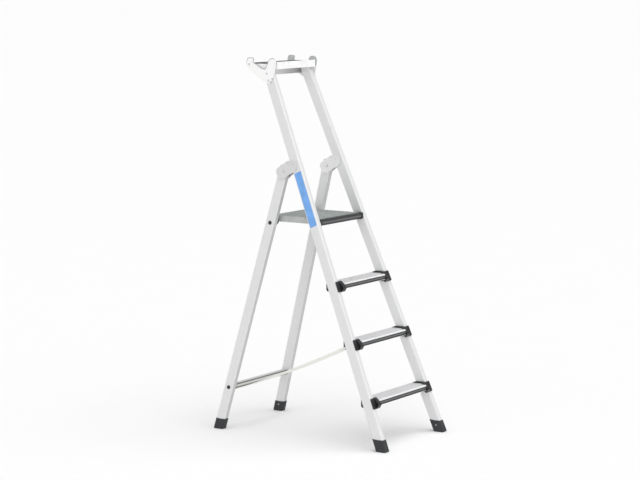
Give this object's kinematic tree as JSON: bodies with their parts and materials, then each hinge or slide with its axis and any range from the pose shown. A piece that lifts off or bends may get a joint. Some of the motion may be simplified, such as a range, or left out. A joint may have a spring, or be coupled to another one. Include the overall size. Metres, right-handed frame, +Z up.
{
  "type": "platform step ladder",
  "caption": "Folding aluminium platform step ladder with ribbed treads, a hinged standing platform, a tool tray at the top and a spread strap.",
  "frame": {"origin": "on the floor, midway between the front and rear feet and between the left and right stiles", "axes": "+X to the right seen from the climbing side, +Y from the climbing side to the rear legs, +Z up"},
  "size_m": [0.5068, 0.883, 1.604],
  "materials": {
    "stile_aluminium": "satin anodised",
    "ribbed_aluminium": "satin, ribbed",
    "bar_aluminium": "satin",
    "dark_strip": "matte",
    "black_plastic": "matte, moulded",
    "foot_rubber": "matte",
    "steel": "bright",
    "plate_steel": "zinc plated",
    "strap_webbing": "woven",
    "label": "printed film",
    "tray_dark": "matte",
    "tray_white": "satin"
  },
  "bodies": {
    "front_frame": {"front_foot_left": "foot_rubber", "front_foot_right": "foot_rubber", "front_foot_rivets": "steel", "front_stile_left": "stile_aluminium", "front_stile_right": "stile_aluminium", "hinge_pins": "steel", "hinge_plate_inner_left": "plate_steel", "hinge_plate_inner_right": "plate_steel", "hinge_plate_outer_left": "plate_steel", "hinge_plate_outer_right": "plate_steel", "hinge_rivets": "steel", "hinge_spacers": "steel", "label_band": "label", "platform_front_rail": "dark_strip", "platform_rail_cap_left": "black_plastic", "platform_rail_cap_right": "black_plastic", "spread_strap": "strap_webbing", "step_1_cap_left": "black_plastic", "step_1_cap_right": "black_plastic", "step_1_front_strip": "dark_strip", "step_1_tread": "ribbed_aluminium", "step_2_cap_left": "black_plastic", "step_2_cap_right": "black_plastic", "step_2_front_strip": "dark_strip", "step_2_tread": "ribbed_aluminium", "step_3_cap_left": "black_plastic", "step_3_cap_right": "black_plastic", "step_3_front_strip": "dark_strip", "step_3_tread": "ribbed_aluminium", "step_cap_rivets": "steel", "strap_stud_front": "steel", "tray_bowl": "tray_dark", "tray_cross_rail": "tray_dark", "tray_end_plate_left": "tray_white", "tray_end_plate_right": "tray_white", "tray_front_panel": "tray_white", "tray_rivets": "steel"},
    "rear_frame": {"crossbar_bolts": "steel", "crossbar_plugs": "black_plastic", "hinge_bushes": "black_plastic", "platform_bolt_plugs": "black_plastic", "platform_pivot_bolts": "steel", "rear_crossbar": "bar_aluminium", "rear_foot_left": "foot_rubber", "rear_foot_right": "foot_rubber", "rear_foot_rivets": "steel", "rear_leg_left": "stile_aluminium", "rear_leg_right": "stile_aluminium", "strap_stud_rear": "steel"},
    "platform": {"platform_deck": "ribbed_aluminium", "platform_pivot_bracket_left": "black_plastic", "platform_pivot_bracket_right": "black_plastic", "platform_rear_edge": "dark_strip", "platform_side_left": "dark_strip", "platform_side_right": "dark_strip"}
  },
  "joints": [
    {"name": "rear_fold", "type": "hinge", "parent": "front_frame", "child": "rear_frame", "pos_m": [0, 0.11744, 1.13], "axis": [-1, 0, 0], "range_deg": [0, 36.4], "deforming": ["spread_strap"]},
    {"name": "platform_fold", "type": "hinge", "parent": "rear_frame", "child": "platform", "pos_m": [0, 0.17596, 0.9106], "axis": [-1, 0, 0], "range_deg": [0, 73.9]}
  ],
  "couplings": [
    {"joint": "platform_fold", "follows": "rear_fold", "ratio": 2.027}
  ]
}
